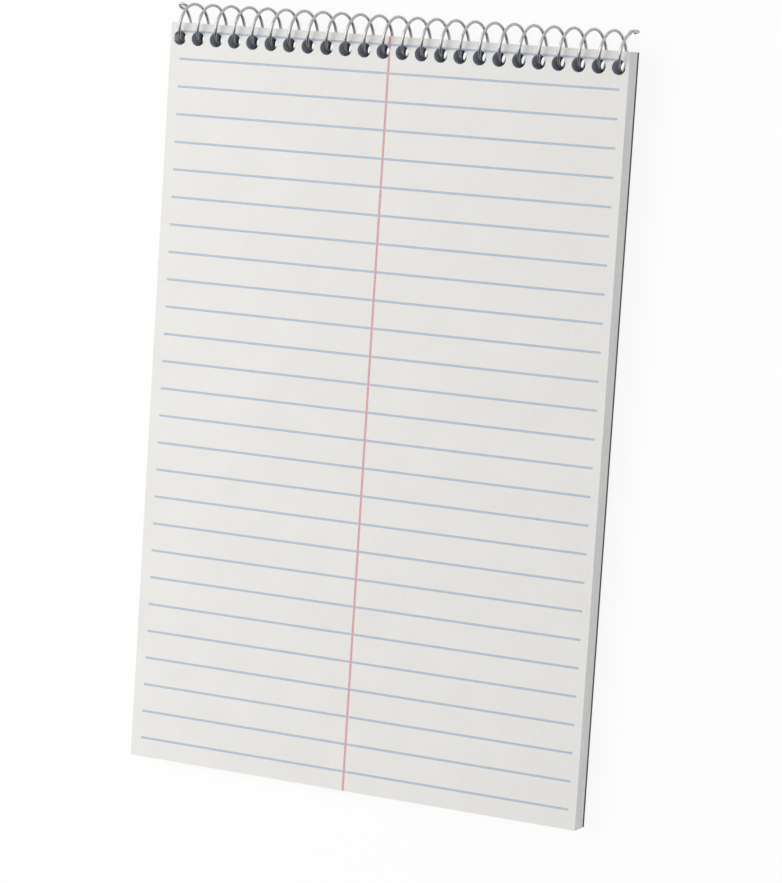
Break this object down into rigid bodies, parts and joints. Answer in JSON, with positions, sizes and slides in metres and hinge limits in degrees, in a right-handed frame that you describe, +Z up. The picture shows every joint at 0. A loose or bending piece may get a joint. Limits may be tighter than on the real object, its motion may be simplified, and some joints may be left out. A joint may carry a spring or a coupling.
{
  "type": "steno book",
  "caption": "Top-bound spiral steno book lying on its back, ruled pages in front and the card cover folded round behind the stiff back board on a wire coil.",
  "frame": {"origin": "bottom centre of the bounding box, on the surface that the book lies on", "axes": "+Z up out of the front page, +Y up the page towards the wire coil, +X along the bound edge to the reader's right"},
  "size_m": [0.1562, 0.2352, 0.0127],
  "materials": {
    "paper": "matte",
    "back_board": "matte",
    "cover_card": "satin",
    "wire": "satin"
  },
  "bodies": {
    "pad": {"page_block": "paper", "back_cover": "back_board", "spiral_wire": "wire"},
    "front_cover": {"front_cover": "cover_card"}
  },
  "joints": [
    {"name": "front_cover_swing", "type": "hinge", "parent": "pad", "child": "front_cover", "pos_m": [0.00038, 0.11112, 0.00635], "axis": [1, 0, 0], "range_deg": [0, 180]}
  ]
}
